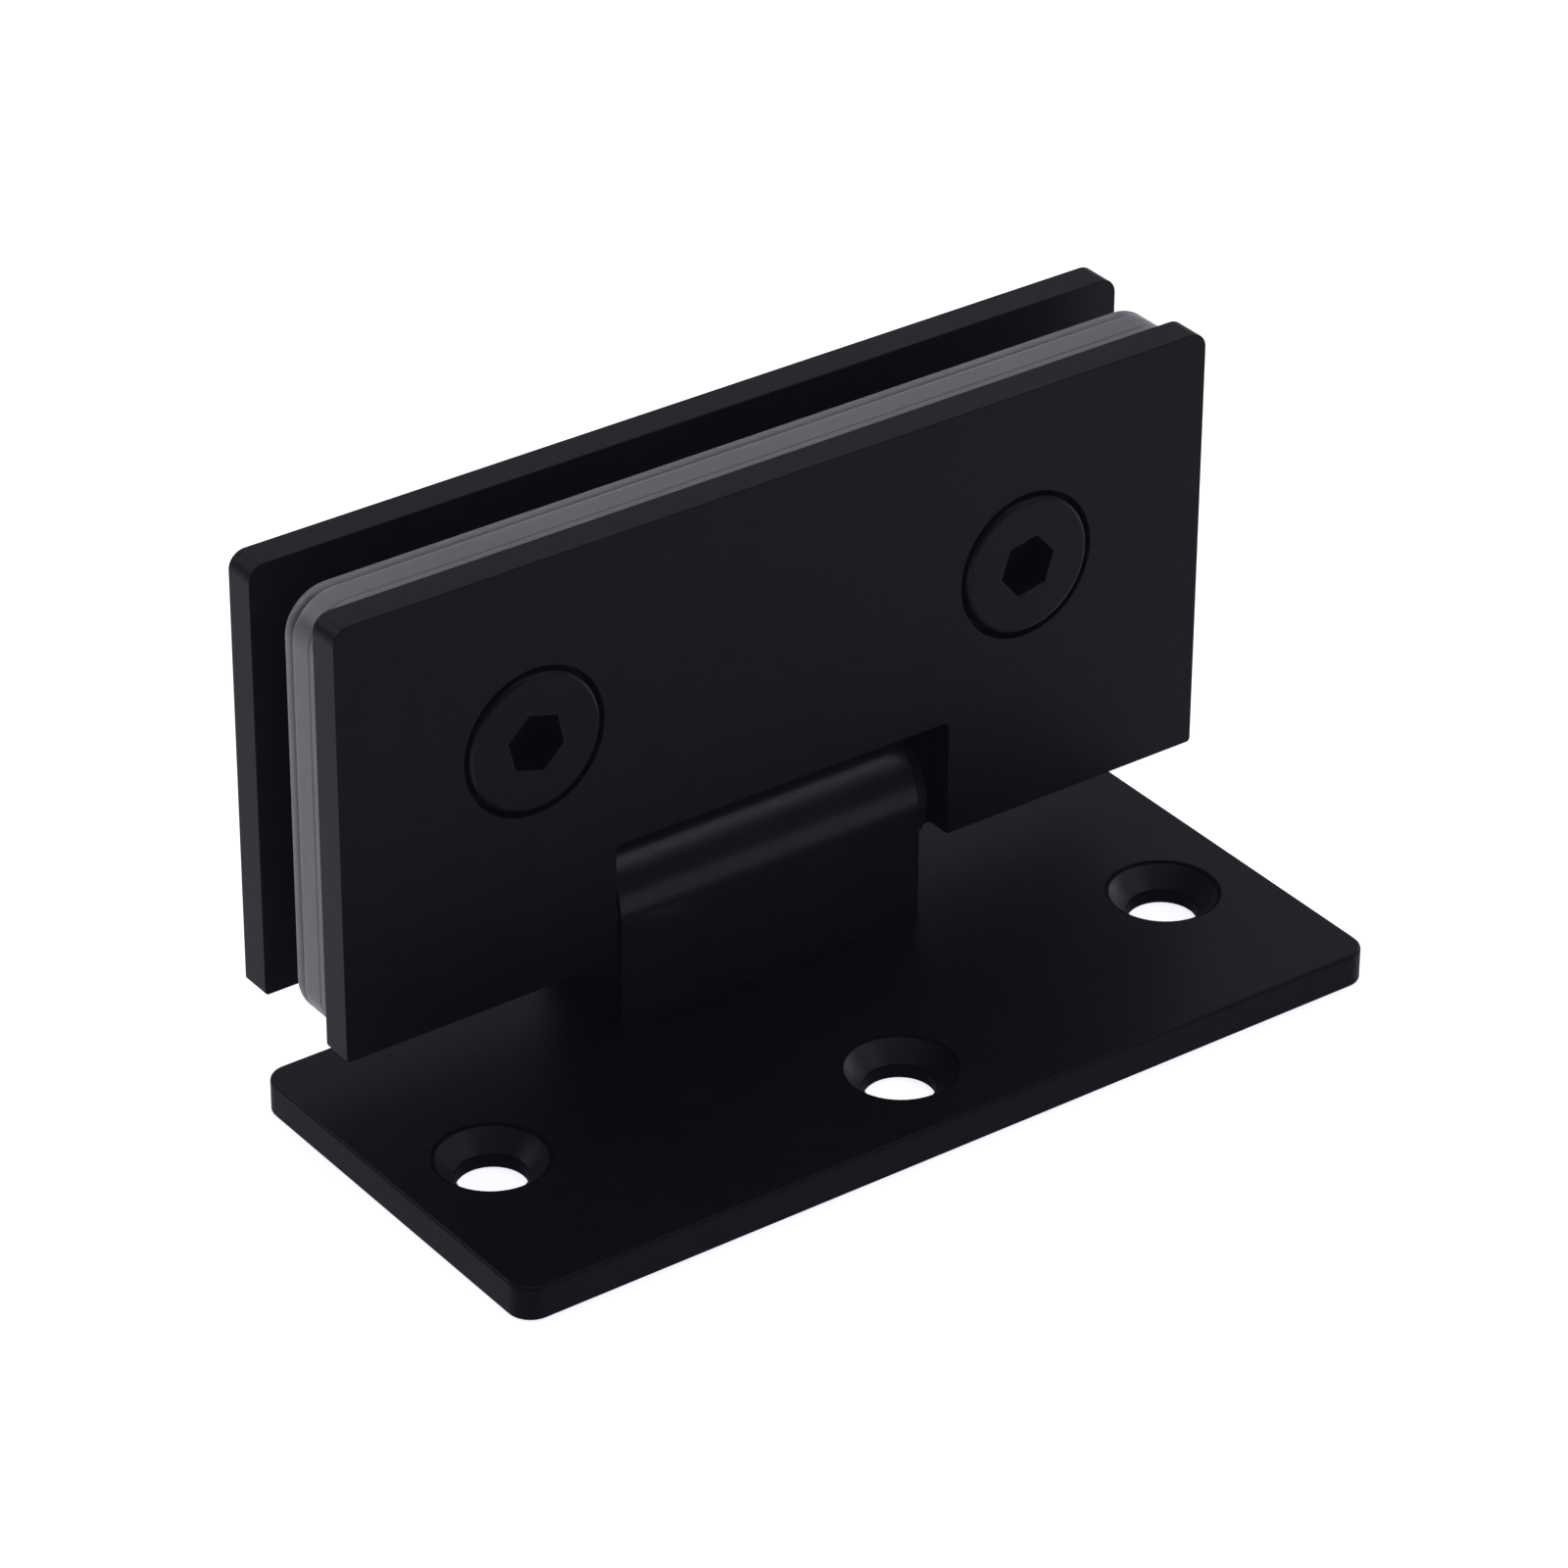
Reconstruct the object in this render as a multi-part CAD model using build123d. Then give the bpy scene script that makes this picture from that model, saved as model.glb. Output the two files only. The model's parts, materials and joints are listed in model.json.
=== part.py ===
from build123d import *
import os

# Glass door hinge with an offset wall plate, in millimetres
# X runs along the hinge pin, Y from the front to the back, Z out from the wall
# The origin is the middle of the wall plate's back face, which lies on the wall

# Wall plate, with two outer screw holes in line and one middle hole nearer the front edge
wall_length = 90.0
wall_width = 40.0
wall_thickness = 3.2
wall_corner = 2.2
wall_hole_radius = 3.1
wall_sink_radius = 5.0
outer_hole_inset = 9.0
outer_hole_setback = 18.0
middle_hole_setback = 9.0

# Knuckle, a D-shaped block flush with the wall plate's rear edge
knuckle_length = 32.0
knuckle_depth = 12.4
knuckle_round_radius = 8.5
knuckle_round_start = 13.6
knuckle_rear_corner = 1.2
axis_height = 14.0
chamber_length = 15.6
chamber_side_wall = 1.3
chamber_rise = 1.8
knuckle_screw_radius = 2.5
knuckle_screw_head_radius = 4.0
knuckle_screw_head_height = 1.8
knuckle_screw_head_clearance = 0.2
knuckle_screw_length = 8.4
knuckle_screw_end_gap = 0.3

# Hinge pin, with four flats in its middle that the spring clips grip
pin_radius = 3.5
pin_length = 60.0
pin_flat_depth = 0.55
pin_flat_length = 15.0
pin_seat_depth = 0.4

# Bushes and thrust washers that the pin turns in
bush_wall = 1.0
bush_seat_clearance = 0.02
running_clearance = 0.05
washer_radius = 5.8
washer_thickness = 1.0
washer_clearance = 0.15

# U-shaped spring clips, side by side
clip_count = 2
clip_strip = 1.2
clip_width = 7.0
clip_gap = 0.05
clip_tip_rise = 1.4
clip_lead_in = 0.4

# Clamp plates of the door leaf
clamp_length = 90.0
clamp_height = 41.5
clamp_thickness = 3.2
clamp_gap = 9.5
clamp_below_axis = 2.2
clamp_top_corner = 1.6
notch_end_clearance = 1.6
notch_top_clearance = 1.1
notch_corner = 0.6

# Clamp screws, through the front plate into threaded bushes on the rear plate
clamp_screw_spacing = 51.4
clamp_screw_drop = 17.0
screw_radius = 4.0
screw_head_radius = 6.55
screw_head_height = 2.25
screw_head_groove = 0.45
counterbore_depth = 2.0
screw_hole_clearance = 0.25
screw_end_gap = 0.5
socket_width = 5.0
socket_depth = 3.2
left_socket_turn = 44.0
right_socket_turn = 12.0

# Threaded bushes and the sleeves that keep the glass off them
boss_radius = 6.0
boss_length = 6.2
thread_clearance = 0.03
sleeve_wall = 2.0
sleeve_end_gap = 0.15

# Gaskets, laid one on the other behind the front plate
thick_gasket_thickness = 3.3
thin_gasket_thickness = 1.5
gasket_inset = 0.15
gasket_corner = 4.0
gasket_hole_clearance = 0.4
cutout_clearance = 0.7
cutout_rise = 1.6

# Lugs on the rear plate that hold the pin's ends, and the screws that lock the pin in them
lug_length = 14.0
lug_front_gap = 0.1
lug_radius = 4.3
lug_edge = 0.4
lug_drop = 0.6
lug_above_screws = 0.7
pin_seat_clearance = 0.02
lock_screw_radius = 2.0
lock_screw_length = 5.0
lock_socket_width = 2.0
lock_socket_depth = 2.0

# Places that follow from the sizes
knuckle_front = wall_width / 2 - knuckle_depth
axis_y = wall_width / 2 - knuckle_depth / 2
clamp_bottom = axis_height - clamp_below_axis
clamp_top = clamp_bottom + clamp_height
rear_inner = axis_y + clamp_gap / 2
rear_outer = rear_inner + clamp_thickness
front_inner = axis_y - clamp_gap / 2
front_outer = front_inner - clamp_thickness
gasket_middle = front_inner + thick_gasket_thickness
gasket_rear = gasket_middle + thin_gasket_thickness
screw_x = clamp_screw_spacing / 2
screw_z = clamp_top - clamp_screw_drop
knuckle_end = knuckle_length / 2
lug_start = knuckle_end + washer_thickness + washer_clearance
lug_end = lug_start + lug_length
lug_front = front_inner + lug_front_gap
lock_x = (lug_start + lug_end) / 2
lock_seat = axis_height + pin_radius - pin_seat_depth
lug_top = lock_seat + lock_screw_length + lug_above_screws
notch_top = knuckle_round_start + knuckle_round_radius + notch_top_clearance
notch_half = knuckle_end + notch_end_clearance
cutout_half = lug_end + cutout_clearance
cutout_top = notch_top + cutout_rise
bush_radius = pin_radius + running_clearance + bush_wall
knuckle_screw_seat = knuckle_screw_head_height + knuckle_screw_head_clearance

LOW = (Align.CENTER, Align.CENTER, Align.MIN)


# Building blocks

def slab(low, high):
    size = [b - a for a, b in zip(low, high)]
    return Pos(*low) * Box(*size, align=(Align.MIN, Align.MIN, Align.MIN))


def rod_x(radius, start, end, y=axis_y, z=axis_height):
    return Plane((start, y, z), z_dir=(1, 0, 0)) * Cylinder(radius, end - start, align=LOW)


def rod_y(radius, start, end, x, z):
    return Plane((x, start, z), z_dir=(0, 1, 0)) * Cylinder(radius, end - start, align=LOW)


def rod_z(radius, start, end, x, y):
    return Pos(x, y, start) * Cylinder(radius, end - start, align=LOW)


def hex_hole(place, width, depth, turn=0):
    outline = Rot(0, 0, turn) * RegularPolygon(width / 2, 6, major_radius=False)
    return place * extrude(outline, depth)


def sheet_between(outline, front, rear):
    # Plane.XZ faces the front, so the sheet grows forwards from its rear face
    return extrude(Plane.XZ.offset(-rear) * outline, rear - front)


def rounded(outline, top_corner, bottom_corner=0):
    rows = outline.vertices().group_by(Axis.Y)
    outline = fillet(rows[-1], top_corner)
    if bottom_corner:
        outline = fillet(outline.vertices().group_by(Axis.Y)[0], bottom_corner)
    return outline


def leaf_outline(inset, top_corner, bottom_corner, gap_half, gap_top, gap_corner=0):
    low = clamp_bottom + inset
    high = clamp_top - inset
    outer = Pos(0, (low + high) / 2) * Rectangle(clamp_length - 2 * inset, high - low)
    outer = rounded(outer, top_corner, bottom_corner)
    below = clamp_bottom - clamp_thickness
    gap = Pos(0, (below + gap_top) / 2) * Rectangle(2 * gap_half, gap_top - below)
    if gap_corner:
        gap = rounded(gap, gap_corner)
    return outer - gap


# Wall leaf

def wall_plate():
    outline = RectangleRounded(wall_length, wall_width, wall_corner)
    plate = extrude(outline, wall_thickness)
    outer_x = wall_length / 2 - outer_hole_inset
    outer_y = outer_hole_setback - wall_width / 2
    middle_y = middle_hole_setback - wall_width / 2
    sink_depth = wall_sink_radius - wall_hole_radius
    for x, y in ((-outer_x, outer_y), (0, middle_y), (outer_x, outer_y)):
        plate -= rod_z(wall_hole_radius, 0, wall_thickness, x, y)
        sink = Pos(x, y, wall_thickness - sink_depth)
        plate -= sink * Cone(wall_hole_radius, wall_sink_radius, sink_depth, align=LOW)
    for x in knuckle_screw_places():
        plate -= rod_z(knuckle_screw_radius + thread_clearance, 0, wall_thickness, x, axis_y)
        bore = knuckle_screw_head_radius + knuckle_screw_head_clearance
        plate -= rod_z(bore, 0, knuckle_screw_seat, x, axis_y)
    return plate


def knuckle_screw_places():
    middle = (chamber_length / 2 + knuckle_end) / 2
    return (-middle, middle)


def knuckle_block():
    # The round runs up from the front face and over to the flat rear face
    height = knuckle_round_start - wall_thickness
    middle = knuckle_round_start + (knuckle_round_radius - height) / 2
    profile = Pos(knuckle_front + knuckle_round_radius, knuckle_round_start) * Circle(knuckle_round_radius)
    foot = Rectangle(knuckle_depth, height, align=(Align.MIN, Align.MIN))
    profile += Pos(knuckle_front, wall_thickness) * foot
    whole = Rectangle(knuckle_depth, height + knuckle_round_radius)
    profile &= Pos(knuckle_front + knuckle_depth / 2, middle) * whole
    profile = fillet(profile.vertices().group_by(Axis.Y)[-1], knuckle_rear_corner)
    place = Plane((-knuckle_end, 0, 0), x_dir=(0, 1, 0), z_dir=(1, 0, 0))
    block = extrude(place * profile, knuckle_length)
    half_width = knuckle_depth / 2 - chamber_side_wall
    low = (-chamber_length / 2, axis_y - half_width, wall_thickness)
    high = (chamber_length / 2, axis_y + half_width, axis_height + chamber_rise)
    block -= slab(low, high)
    block -= rod_x(bush_radius + bush_seat_clearance, -knuckle_end, knuckle_end)
    for x in knuckle_screw_places():
        depth = knuckle_screw_length + knuckle_screw_end_gap
        block -= rod_z(knuckle_screw_radius + thread_clearance, wall_thickness, depth, x, axis_y)
    return block


def knuckle_screws():
    screws = []
    for x in knuckle_screw_places():
        start = knuckle_screw_seat - knuckle_screw_head_height
        screw = rod_z(knuckle_screw_radius, start, knuckle_screw_length, x, axis_y)
        screw += rod_z(knuckle_screw_head_radius, start, knuckle_screw_seat, x, axis_y)
        screw -= hex_hole(Pos(x, axis_y, start), knuckle_screw_radius * 1.2, knuckle_screw_radius)
        screws.append(screw)
    return screws


def pin_bush(side):
    start = side * chamber_length / 2
    end = side * knuckle_end
    low = min(start, end)
    high = max(start, end)
    bush = rod_x(bush_radius, low, high)
    return bush - rod_x(pin_radius + running_clearance, low, high)


def thrust_washer(side):
    near = side * knuckle_end
    far = side * (knuckle_end + washer_thickness)
    low = min(near, far)
    high = max(near, far)
    washer = rod_x(washer_radius, low, high)
    return washer - rod_x(pin_radius + running_clearance, low, high)


def spring_clip(number):
    inner = pin_radius - pin_flat_depth + clip_gap
    outer = inner + clip_strip
    bend_z = wall_thickness + outer - axis_height
    legs = clip_tip_rise - bend_z
    shape = Pos(0, bend_z) * Circle(outer)
    shape += Pos(0, bend_z + legs / 2) * Rectangle(2 * outer, legs)
    hollow = Pos(0, bend_z) * Circle(inner)
    hollow += Pos(0, bend_z + legs / 2) * Rectangle(2 * inner, legs)
    lead_in = Pos(0, clip_tip_rise) * RegularPolygon(inner + clip_lead_in, 4, rotation=0)
    pitch = pin_flat_length / clip_count
    start = -pin_flat_length / 2 + number * pitch + (pitch - clip_width) / 2
    place = Plane((start, axis_y, axis_height), x_dir=(0, 1, 0), z_dir=(1, 0, 0))
    return extrude(place * (shape - hollow - lead_in), clip_width)


# Door leaf

def hinge_pin():
    pin = rod_x(pin_radius, -pin_length / 2, pin_length / 2)
    flat = pin_radius - pin_flat_depth
    half = pin_flat_length / 2
    middle = slab((-half, axis_y - pin_radius, axis_height - pin_radius),
                  (half, axis_y + pin_radius, axis_height + pin_radius))
    square = slab((-half, axis_y - flat, axis_height - flat),
                  (half, axis_y + flat, axis_height + flat))
    pin -= middle - square
    for x in (-lock_x, lock_x):
        pin -= rod_z(lock_screw_radius, lock_seat, lock_seat + pin_radius, x, axis_y)
    return pin


def clamp_blank(front, rear):
    outline = leaf_outline(0, clamp_top_corner, 0, notch_half, notch_top, notch_corner)
    return sheet_between(outline, front, rear)


def front_clamp_plate():
    plate = clamp_blank(front_outer, front_inner)
    for x in (-screw_x, screw_x):
        plate -= rod_y(screw_radius + screw_hole_clearance, front_outer, front_inner, x, screw_z)
        bore = screw_head_radius + screw_head_groove
        plate -= rod_y(bore, front_outer, front_outer + counterbore_depth, x, screw_z)
    return plate


def rear_clamp_plate():
    plate = clamp_blank(rear_inner, rear_outer)
    for side in (-1, 1):
        plate += pin_lug(side)
        plate -= rod_x(pin_radius + pin_seat_clearance, *sorted((side * lug_start, side * lug_end)))
        plate -= rod_z(lock_screw_radius + thread_clearance, axis_height, lug_top, side * lock_x, axis_y)
    return plate


def pin_lug(side):
    left, right = sorted((side * lug_start, side * lug_end))
    lug = slab((left, lug_front, axis_height), (right, rear_inner, lug_top))
    lug = chamfer(lug.faces().sort_by(Axis.Z)[-1].edges().sort_by(Axis.Y)[0], lug_edge)
    lug += rod_x(lug_radius, left, right)
    return lug + slab((left, lug_front, clamp_bottom - lug_drop), (right, rear_inner, axis_height))


def clamp_screw(side, turn):
    seat = front_outer + counterbore_depth
    face = seat - screw_head_height
    head = rod_y(screw_head_radius, face, seat, side * screw_x, screw_z)
    end = rear_inner - screw_end_gap
    screw = head + rod_y(screw_radius, seat, end, side * screw_x, screw_z)
    place = Plane((side * screw_x, face, screw_z), x_dir=(1, 0, 0), z_dir=(0, 1, 0))
    return screw - hex_hole(place, socket_width, socket_depth, -turn)


def threaded_bush(side):
    x = side * screw_x
    start = rear_inner - boss_length
    bush = rod_y(boss_radius, start, rear_inner, x, screw_z)
    return bush - rod_y(screw_radius + thread_clearance, start, rear_inner, x, screw_z)


def glass_sleeve(side):
    x = side * screw_x
    start = gasket_rear + sleeve_end_gap
    end = rear_inner
    sleeve = rod_y(boss_radius + sleeve_wall, start, end, x, screw_z)
    return sleeve - rod_y(boss_radius, start, end, x, screw_z)


def gasket(front, rear):
    corners = (gasket_corner, gasket_corner)
    outline = leaf_outline(gasket_inset, *corners, cutout_half, cutout_top)
    for x in (-screw_x, screw_x):
        outline -= Pos(x, screw_z) * Circle(boss_radius + gasket_hole_clearance)
    return sheet_between(outline, front, rear)


def pin_lock_screws():
    screws = []
    for x in (-lock_x, lock_x):
        end = lock_seat + lock_screw_length
        screw = rod_z(lock_screw_radius, lock_seat, end, x, axis_y)
        place = Pos(x, axis_y, end - lock_socket_depth)
        screws.append(screw - hex_hole(place, lock_socket_width, lock_socket_depth))
    return screws


# Every piece in its own node

nodes = {
    "wall_plate": wall_plate(),
    "knuckle_block": knuckle_block(),
    "knuckle_screws": knuckle_screws(),
    "pin_bush_left": pin_bush(-1),
    "pin_bush_right": pin_bush(1),
    "thrust_washer_left": thrust_washer(-1),
    "thrust_washer_right": thrust_washer(1),
    "spring_clip_left": spring_clip(0),
    "spring_clip_right": spring_clip(1),
    "hinge_pin": hinge_pin(),
    "front_clamp_plate": front_clamp_plate(),
    "rear_clamp_plate": rear_clamp_plate(),
    "clamp_screw_left": clamp_screw(-1, left_socket_turn),
    "clamp_screw_right": clamp_screw(1, right_socket_turn),
    "threaded_bush_left": threaded_bush(-1),
    "threaded_bush_right": threaded_bush(1),
    "glass_sleeve_left": glass_sleeve(-1),
    "glass_sleeve_right": glass_sleeve(1),
    "thick_gasket": gasket(front_inner, gasket_middle),
    "thin_gasket": gasket(gasket_middle, gasket_rear),
    "pin_lock_screws": pin_lock_screws(),
}

os.makedirs("parts", exist_ok=True)
for name, shape in nodes.items():
    solids = shape if isinstance(shape, list) else [shape]
    body = Compound(children=[solid for piece in solids for solid in piece.solids()])
    export_step(body, f"parts/{name}.step")
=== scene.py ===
# A black glass door hinge standing on its wall plate, in metres
import json
import math
import bpy
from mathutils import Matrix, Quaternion, Vector


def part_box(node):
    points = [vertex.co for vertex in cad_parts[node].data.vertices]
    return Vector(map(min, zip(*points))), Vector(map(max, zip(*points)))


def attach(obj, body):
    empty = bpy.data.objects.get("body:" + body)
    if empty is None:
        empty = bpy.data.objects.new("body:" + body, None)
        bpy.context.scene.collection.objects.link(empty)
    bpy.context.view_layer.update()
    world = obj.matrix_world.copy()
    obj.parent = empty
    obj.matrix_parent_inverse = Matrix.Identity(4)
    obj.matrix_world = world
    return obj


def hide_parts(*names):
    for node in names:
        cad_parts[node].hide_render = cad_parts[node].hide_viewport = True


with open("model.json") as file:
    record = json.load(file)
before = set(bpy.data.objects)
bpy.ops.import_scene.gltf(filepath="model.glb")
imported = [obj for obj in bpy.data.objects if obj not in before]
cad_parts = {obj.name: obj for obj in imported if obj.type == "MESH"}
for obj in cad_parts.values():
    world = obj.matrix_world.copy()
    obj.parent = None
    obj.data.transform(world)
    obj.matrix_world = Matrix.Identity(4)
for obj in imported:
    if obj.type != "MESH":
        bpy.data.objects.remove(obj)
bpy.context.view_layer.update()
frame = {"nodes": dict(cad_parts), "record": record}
bpy.ops.object.select_all(action="DESELECT")
mm = 0.001


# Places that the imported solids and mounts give, in millimetres

def corners(name):
    """The lowest and the highest corner of a plain solid."""
    return [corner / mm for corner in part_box(name)]


half_length, wall_half_width, wall_top = corners("wall_plate")[1]
knuckle_half_length = corners("knuckle_block")[1].x
clamp_bottom = corners("front_clamp_plate")[0].z
front_inner = corners("front_clamp_plate")[1].y
rear_inner = corners("threaded_bush_right")[1].y  # the bushes stand on the rear plate's inner face
screw_low, screw_high = corners("clamp_screw_right")
screw_x = (screw_low.x + screw_high.x) / 2
screw_z = (screw_low.z + screw_high.z) / 2
screw_face = screw_low.y

mounts = {mount["name"]: mount for mount in frame["record"]["mounts"]}
outer_holes = mounts["wall_screw_holes"]
middle_hole = mounts["middle_wall_screw_hole"]
hole_x = outer_holes["dims"]["spacing_x_mm"] / 2
outer_y = outer_holes["pos_m"][1] / mm
middle_y = middle_hole["pos_m"][1] / mm
wall_holes = ((-hole_x, outer_y), (0.0, middle_y), (hole_x, outer_y))
sink_bottom = middle_hole["dims"]["length_mm"]


# Shader sums: a socket in a small wrapper, so that a pattern reads as a sum

class Value:
    def __init__(self, tree, socket):
        self.tree = tree
        self.socket = socket

    def math(self, kind, other):
        node = self.tree.nodes.new("ShaderNodeMath")
        node.operation = kind
        for slot, item in zip(node.inputs, (self, other)):
            if isinstance(item, Value):
                self.tree.links.new(item.socket, slot)
            else:
                slot.default_value = item
        return Value(self.tree, node.outputs[0])

    def __add__(self, other):
        return self.math("ADD", other)

    def __mul__(self, other):
        return self.math("MULTIPLY", other)

    def __sub__(self, other):
        return self.math("SUBTRACT", other)

    __radd__ = __add__
    __rmul__ = __mul__


class Finish:
    """One material: its shader, and any other node from a single call."""

    def __init__(self, name, colour, **sockets):
        self.material = bpy.data.materials.new(name)
        self.material.use_nodes = True
        self.tree = self.material.node_tree
        self.shader = self.tree.nodes["Principled BSDF"]
        self.shader.inputs["Base Color"].default_value = (*colour, 1.0)
        for socket, number in sockets.items():
            self.shader.inputs[socket.replace("_", " ")].default_value = number
        self.place = self.node("ShaderNodeTexCoord", output="Object")

    def node(self, kind, settings=None, output=0, **inputs):
        made = self.tree.nodes.new(kind)
        for key, setting in (settings or {}).items():
            setattr(made, key, setting)
        for key, item in inputs.items():
            slot = [s for s in made.inputs if s.name == key.replace("_", " ") and s.enabled][0]
            if isinstance(item, Value):
                self.tree.links.new(item.socket, slot)
            else:
                slot.default_value = item
        return Value(self.tree, made.outputs[output])

    def noise(self, size, detail=2.0):
        return self.node("ShaderNodeTexNoise", Vector=self.place, Scale=1.0 / size, Detail=detail)

    def blend(self, mask, dark, light):
        colours = {"A": (*dark, 1.0), "B": (*light, 1.0)}
        return self.node("ShaderNodeMix", {"data_type": "RGBA"}, output=2, Factor=mask, **colours)

    def stretch(self, value, low, high):
        """The value from 0 at low to 1 at high, and no further."""
        return self.node("ShaderNodeMapRange", {"clamp": True}, Value=value, From_Min=low, From_Max=high)

    def bump(self, height, depth):
        return self.node("ShaderNodeBump", Height=height, Strength=1.0, Distance=depth)

    def feed(self, socket, value):
        self.tree.links.new(value.socket, self.shader.inputs[socket])


# Each pair holds the darker and the lighter tone of a mottled finish
deep_black = ((0.0014, 0.0013, 0.0019), (0.0026, 0.0025, 0.0032))
satin_tones = ((0.0064, 0.0062, 0.0072), (0.0082, 0.0080, 0.0092))
# painted light: lighter, bluer tones for the rear plate's inner face stand in for light falling between
# the plates
painted_light_inner_tones = ((0.0065, 0.0062, 0.0085), (0.0085, 0.0082, 0.0115))
sheet_tones = ((0.142, 0.151, 0.142), (0.200, 0.212, 0.200))


def powder_coat(name, gloss, roughness, grain_depth, tones=deep_black):
    """Matt black powder coat: fine grain, faint mottling in tone and gloss."""
    finish = Finish(name, (0.002, 0.002, 0.0025), Specular_IOR_Level=gloss)
    grain = finish.noise(0.30 * mm)
    mottle = finish.noise(2.6 * mm, detail=3.0)
    cloud = finish.noise(16.0 * mm)
    tone = finish.stretch(mottle * 0.6 + cloud * 0.4, 0.35, 0.65)
    finish.feed("Base Color", finish.blend(tone, *tones))
    finish.feed("Roughness", roughness + 0.10 * (cloud - 0.5) + 0.14 * (grain - 0.5))
    finish.feed("Normal", finish.bump(grain, grain_depth))
    return finish.material


def gasket_sheet():
    """Cloudy, see-through sheet with a faint rolled grain."""
    finish = Finish(
        "gasket_sheet", (0.27, 0.28, 0.29), Specular_IOR_Level=0.35, IOR=1.45, Transmission_Weight=0.60,
        Subsurface_Weight=0.6, Subsurface_Radius=(1.0, 1.0, 1.0), Subsurface_Scale=3.5 * mm)
    cloud = finish.noise(7.0 * mm, detail=3.0)
    grain = finish.noise(0.5 * mm)
    finish.feed("Base Color", finish.blend(cloud, *sheet_tones))
    finish.feed("Roughness", 0.34 + 0.16 * grain)
    finish.feed("Normal", finish.bump(grain, 0.01 * mm))
    return finish.material


def turned_steel(name, colour, roughness):
    """Bare steel with fine tool marks and a little dullness."""
    finish = Finish(name, colour, Metallic=1.0)
    marks = finish.noise(0.22 * mm, detail=3.0)
    dull = finish.noise(5.0 * mm)
    finish.feed("Roughness", roughness + 0.18 * (dull - 0.5) + 0.12 * (marks - 0.5))
    finish.feed("Normal", finish.bump(marks, 0.004 * mm))
    return finish.material


def nylon():
    """Black nylon, satin, with a faint moulded texture."""
    finish = Finish("nylon", (0.008, 0.008, 0.009), Specular_IOR_Level=0.12)
    grain = finish.noise(0.4 * mm)
    finish.feed("Roughness", 0.42 + 0.14 * (grain - 0.5))
    finish.feed("Normal", finish.bump(grain, 0.008 * mm))
    return finish.material


plate_look = {"gloss": 0.063, "roughness": 0.42, "grain_depth": 0.014 * mm}
finishes = {
    "black_steel": powder_coat("black_powder_coat", **plate_look),
    "plain_steel": turned_steel("turned_steel", (0.42, 0.42, 0.43), roughness=0.34),
    "spring_steel": turned_steel("spring_steel", (0.22, 0.21, 0.22), roughness=0.28),
    "nylon": nylon(),
    "gasket_rubber": gasket_sheet(),
}
satin_look = {"gloss": 0.112, "roughness": 0.22, "grain_depth": 0.005 * mm}
satin_black = powder_coat("satin_black_coat", **satin_look, tones=satin_tones)
# painted light: the rear plate's inner face gets these lighter tones for the light that falls between the
# plates
painted_light_inner_coat = powder_coat("painted_light_inner_face_coat", **plate_look, tones=painted_light_inner_tones)
# painted shade: a duller coat darkens the wall plate's sides, standing in for the shadowed table they
# reflect
painted_shade_side_coat = powder_coat("painted_shade_side_finish", gloss=0.036, roughness=0.46, grain_depth=0.030 * mm)
sink_coat = powder_coat("sink_coat", gloss=0.20, roughness=0.47, grain_depth=0.012 * mm)
# painted shade: a dull coat darkens the through holes, the sinks' rims and the knuckle's ends, where shade
# falls
painted_shade_coat = powder_coat("painted_shade_hole_finish", gloss=0.010, roughness=0.60, grain_depth=0.010 * mm)
rim_coat = powder_coat("screw_rim_coat", gloss=0.11, roughness=0.36, grain_depth=0.008 * mm)
for part in frame["record"]["subparts"]:
    node = frame["nodes"][part["node"]]
    node.data.materials.clear()
    node.data.materials.append(finishes[part["material_slot"]])


# Pieces with softened edges, which take the place of the plain solids

join_gap = 0.002 * mm  # points closer than this become one
flat_angle = math.radians(0.6)  # faces that meet at less than this become one
sharp_angle = math.radians(24.0)  # edges that bend more than this can be rounded
smooth_angle = math.radians(34.0)  # edges that bend less than this are shaded smooth


def join_points():
    """Joins the points of the active piece that lie in one place, and leaves it in edit mode."""
    bpy.ops.object.mode_set(mode="EDIT")
    bpy.ops.mesh.select_all(action="SELECT")
    bpy.ops.mesh.remove_doubles(threshold=join_gap)


def plain_copy(name):
    """A copy of a plain solid, with its triangles joined into whole faces."""
    node = frame["nodes"][name]
    piece = bpy.data.objects.new(name + "_softened", node.data.copy())
    bpy.context.scene.collection.objects.link(piece)
    bpy.ops.object.select_all(action="DESELECT")
    piece.select_set(True)
    bpy.context.view_layer.objects.active = piece
    join_points()
    bpy.ops.mesh.dissolve_limited(angle_limit=flat_angle)
    bpy.ops.object.mode_set(mode="OBJECT")
    return piece


def round_edges(piece, rounding, chosen):
    """Rounds the piece's sharp edges whose middle, in millimetres, is chosen."""
    bpy.ops.object.mode_set(mode="EDIT")
    bpy.ops.mesh.select_mode(type="EDGE")
    bpy.ops.mesh.select_all(action="DESELECT")
    bpy.ops.mesh.edges_select_sharp(sharpness=sharp_angle)
    bpy.ops.object.mode_set(mode="OBJECT")
    mesh = piece.data
    kept = []
    for edge in mesh.edges:
        start, end = [mesh.vertices[i].co for i in edge.vertices]
        if edge.select and chosen(*((start + end) / (2 * mm))):
            kept.append(edge.index)
    for group in (mesh.vertices, mesh.edges, mesh.polygons):
        group.foreach_set("select", [False] * len(group))
    for index in kept:
        mesh.edges[index].select = True
        for i in mesh.edges[index].vertices:
            mesh.vertices[i].select = True
    width, steps = rounding
    bpy.ops.object.mode_set(mode="EDIT")
    bpy.ops.mesh.bevel(offset=width * mm, offset_type="OFFSET", segments=steps, clamp_overlap=True)
    bpy.ops.object.mode_set(mode="OBJECT")


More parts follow.
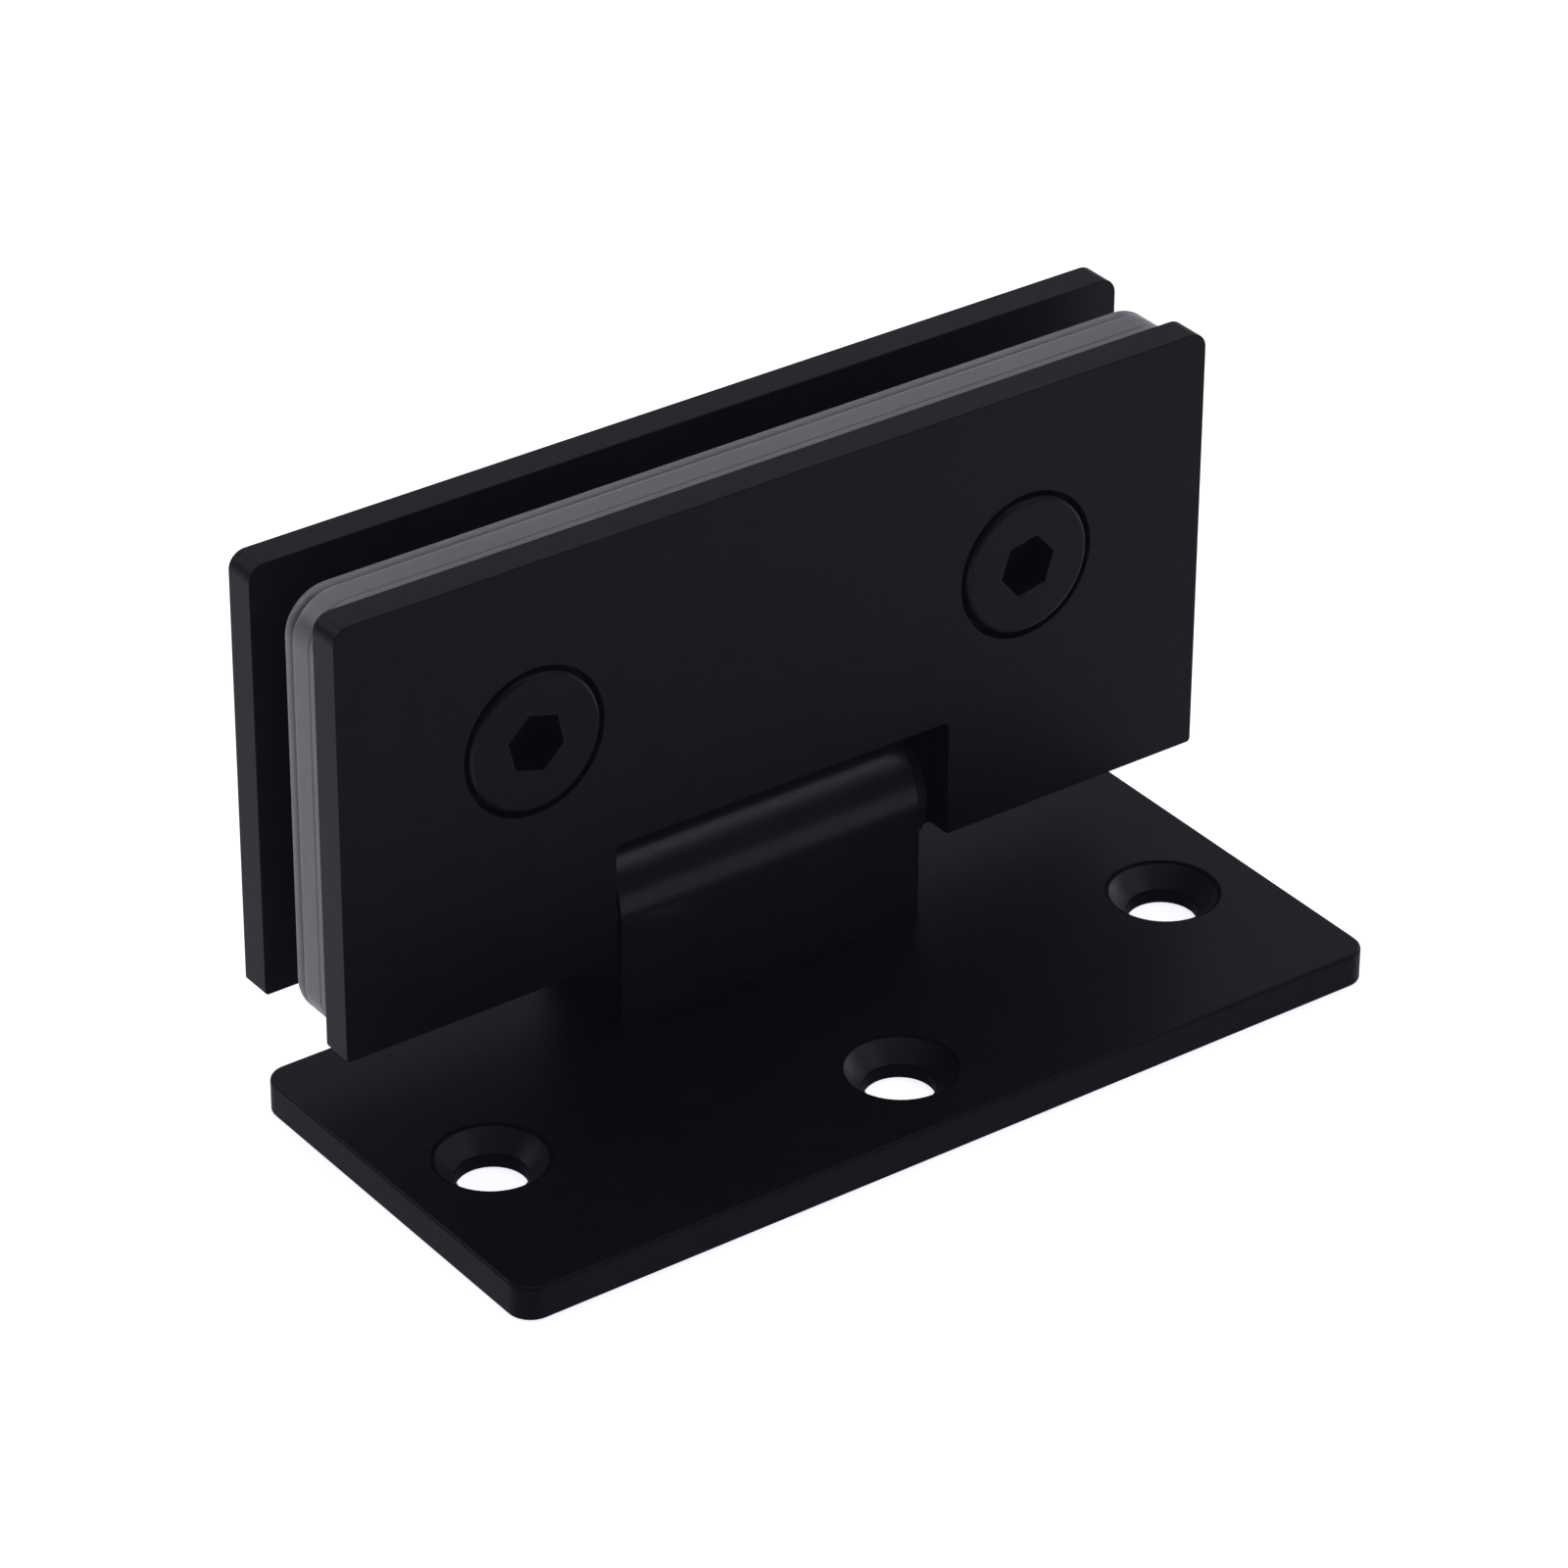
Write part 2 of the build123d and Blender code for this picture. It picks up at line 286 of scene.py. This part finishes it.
def score_line(piece, place, width, depth):
    """A fine groove round a sheet's edge, where its facing ends."""
    bpy.ops.object.mode_set(mode="EDIT")
    bpy.ops.mesh.select_mode(type="VERT")
    bpy.ops.mesh.select_all(action="SELECT")
    bpy.ops.mesh.bisect(plane_co=(0.0, place, 0.0), plane_no=(0.0, 1.0, 0.0))
    bpy.ops.mesh.bevel(offset=width / 2, offset_type="OFFSET", segments=2)
    bpy.ops.mesh.select_all(action="DESELECT")
    bpy.ops.object.mode_set(mode="OBJECT")
    for point in piece.data.vertices:
        point.select = abs(point.co.y - place) < join_gap / 2
    bpy.ops.object.mode_set(mode="EDIT")
    bpy.ops.transform.shrink_fatten(value=-depth)
    bpy.ops.object.mode_set(mode="OBJECT")


def coat_faces(piece, material, chosen):
    """Gives the chosen faces, by their middle in millimetres and their direction, another finish.

    A part of the direction is 1 or -1 where the face looks straight along that axis, and 0 across it.
    """
    piece.data.materials.append(material)
    for face in piece.data.polygons:
        if chosen(*(face.center / mm), face.normal):
            face.material_index = len(piece.data.materials) - 1


def finished(piece, name, body):
    """Joins the points where roundings meet, evens the shading, and takes the solid's place."""
    join_points()
    bpy.ops.object.mode_set(mode="OBJECT")
    bpy.ops.object.shade_smooth_by_angle(angle=smooth_angle)
    evened = piece.modifiers.new("evened", "WEIGHTED_NORMAL")
    evened.keep_sharp = True
    bpy.ops.object.modifier_apply(modifier="evened")
    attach(piece, body)
    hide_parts(name)
    piece.select_set(False)


# Where an edge or a face lies, in millimetres

near = 0.05  # this close counts as the same place
outline_band = 2.3  # holds the wall plate's sides with their rounded corners
bore_reach = 8.0  # holds all edges of a clamp screw's bore
sink_reach = 5.5  # holds all edges of a wall hole's sink
rim_start = 6.0  # a screw head's rim lies further than this from its axis
socket_reach = 3.2  # a screw's socket lies nearer than this to its axis


def from_screw(x, z):
    return math.hypot(abs(x) - screw_x, z - screw_z)


def near_screws(x, y, z):
    return from_screw(x, z) < bore_reach


def near_wall_hole(x, y):
    return min(math.dist((x, y), hole) for hole in wall_holes) < sink_reach


def on_wall_outline(x, y):
    return max(abs(x) - half_length, abs(y) - wall_half_width) > -outline_band


# Roundings: the width in millimetres and the number of steps

plate_foot = (0.35, 3)
plate_edge = (0.22, 3)
screw_bore = (0.08, 2)
wall_edge = (0.30, 4)
sink_rim = (0.22, 4)
wall_foot = (0.12, 2)
knuckle_end = (0.25, 3)
head_rim = (0.50, 5)
socket_rim = (0.10, 2)
sheet_edges = {"thick_gasket": (0.60, 3), "thin_gasket": (0.55, 3)}

for name in ("front_clamp_plate", "rear_clamp_plate"):
    plate = plain_copy(name)
    round_edges(plate, plate_foot, lambda x, y, z: abs(x) > half_length - near and z < clamp_bottom + near)
    round_edges(plate, plate_edge, lambda x, y, z: (
        not near_screws(x, y, z) and (y < front_inner + near or y > rear_inner - near)))
    round_edges(plate, screw_bore, near_screws)
    if name == "rear_clamp_plate":
        # painted light on the inner face of the rear plate
        coat_faces(plate, painted_light_inner_coat, lambda x, y, z, way: abs(y - rear_inner) < near and way.y < -0.9)
    finished(plate, name, "door_leaf")

wall = plain_copy("wall_plate")
lip_bottom = wall_top - 0.2
round_edges(wall, wall_edge, lambda x, y, z: z > wall_top - near and on_wall_outline(x, y))
round_edges(wall, sink_rim, lambda x, y, z: z > wall_top - near and near_wall_hole(x, y))
round_edges(wall, wall_foot, lambda x, y, z: z < lip_bottom)
# painted shade on the wall plate's sides
coat_faces(wall, painted_shade_side_coat, lambda x, y, z, way: abs(way.z) < 0.5 and on_wall_outline(x, y))
coat_faces(wall, sink_coat, lambda x, y, z, way: (
    way.z < 0.97 and z > sink_bottom + near and near_wall_hole(x, y)))
# painted shade in the through holes and along the sinks' rims
coat_faces(wall, painted_shade_coat, lambda x, y, z, way: z < sink_bottom + near and near_wall_hole(x, y))
coat_faces(wall, painted_shade_coat, lambda x, y, z, way: (
    z > lip_bottom and 0.74 < way.z < 0.9999 and near_wall_hole(x, y)))
finished(wall, "wall_plate", "wall_leaf")

knuckle = plain_copy("knuckle_block")
round_edges(knuckle, knuckle_end, lambda x, y, z: (
    abs(x) > knuckle_half_length - near and z > wall_top + near))
knuckle.data.materials.clear()
knuckle.data.materials.append(satin_black)
# painted shade on the knuckle's ends inside the notch
coat_faces(knuckle, painted_shade_coat, lambda x, y, z, way: abs(way.x) > 0.9)
finished(knuckle, "knuckle_block", "wall_leaf")

for name in ("clamp_screw_left", "clamp_screw_right"):
    screw = plain_copy(name)
    face_end = screw_face + near
    round_edges(screw, head_rim, lambda x, y, z: y < face_end and from_screw(x, z) > rim_start)
    round_edges(screw, socket_rim, lambda x, y, z: y < face_end and from_screw(x, z) < socket_reach)
    coat_faces(screw, rim_coat, lambda x, y, z, way: -0.985 < way.y < -0.15)
    finished(screw, name, "door_leaf")

facing_thickness = 0.9
facing_end = (front_inner + facing_thickness) * mm
for name, rounding in sheet_edges.items():
    sheet = plain_copy(name)
    if name == "thick_gasket":
        score_line(sheet, facing_end, width=0.22 * mm, depth=0.09 * mm)
    round_edges(sheet, rounding, lambda x, y, z: not near_screws(x, y, z))
    finished(sheet, name, "door_leaf")


# The camera stands where the photographer stood

def aim_camera():
    """Turn, rise, roll, target and distance come from the pinhole camera fitted to the plates."""
    turn, rise, roll = math.radians(-36.156), math.radians(31.258), math.radians(0.317)
    target = Vector((4.113, 11.673, 18.837)) * mm
    distance = 597.36
    back = Vector((math.sin(turn) * math.cos(rise), -math.cos(turn) * math.cos(rise), math.sin(rise)))
    data = bpy.data.cameras.new("camera")
    data.lens = 157.79
    data.sensor_width = 36.0
    data.clip_start = 0.01
    camera = bpy.data.objects.new("camera", data)
    bpy.context.scene.collection.objects.link(camera)
    camera.location = target + back * distance * mm
    camera.rotation_mode = "QUATERNION"
    camera.rotation_quaternion = Quaternion(back, roll) @ (-back).to_track_quat("-Z", "Y")
    bpy.context.scene.camera = camera


# White surroundings with a faint blue cast

studio_white = (1.0, 0.995, 1.14)
lamp_target = Vector((0.0, 0.0, 0.03))


def lay_table():
    """A white table that glows a little, just under the wall plate."""
    bpy.ops.mesh.primitive_plane_add(size=12.0, location=(0.0, 0.0, -0.0001))
    table = bpy.context.object
    table.name = "table"
    finish = Finish(
        "table", (0.45, 0.45, 0.45), Roughness=0.9, Specular_IOR_Level=0.0,
        Emission_Color=(*studio_white, 1.0), Emission_Strength=0.83)
    table.data.materials.append(finish.material)


def softbox(name, place, size, power):
    """A flat lamp turned to the hinge: its place and size in metres, its power in watts."""
    data = bpy.data.lights.new(name, "AREA")
    data.shape = "RECTANGLE"
    data.size, data.size_y = size
    data.energy = power
    data.color = studio_white
    lamp = bpy.data.objects.new(name, data)
    bpy.context.scene.collection.objects.link(lamp)
    lamp.location = place
    lamp.rotation_mode = "QUATERNION"
    lamp.rotation_quaternion = (lamp_target - Vector(place)).to_track_quat("-Z", "Y")


aim_camera()
lay_table()
softbox("overhead", (0.1, 0.1, 1.2), (0.8, 0.8), 5.0)
softbox("front_right", (0.504, -0.589, 0.632), (0.5, 0.3), 1.20)
softbox("front_right_low", (0.504, -0.725, 0.471), (0.5, 0.15), 0.15)
softbox("rear_right", (0.60, 0.83, 0.65), (1.3, 0.9), 2.5)
softbox("rear_left", (-0.60, 0.875, 0.655), (0.7, 0.6), 4.0)
softbox("rear_top", (-0.05, 0.90, 0.90), (0.8, 0.5), 2.0)
softbox("right", (1.0, 0.2, 0.4), (0.6, 0.6), 3.0)
world = bpy.data.worlds.new("studio")
world.use_nodes = True
world.node_tree.nodes["Background"].inputs[0].default_value = (0.14, 0.139, 0.16, 1.0)
bpy.context.scene.world = world

# The darkest tones are lifted a little
view = bpy.context.scene.view_settings
view.view_transform = "Standard"
view.use_curve_mapping = True
view.curve_mapping.black_level = (-0.0024, -0.0022, -0.0033)
view.curve_mapping.update()
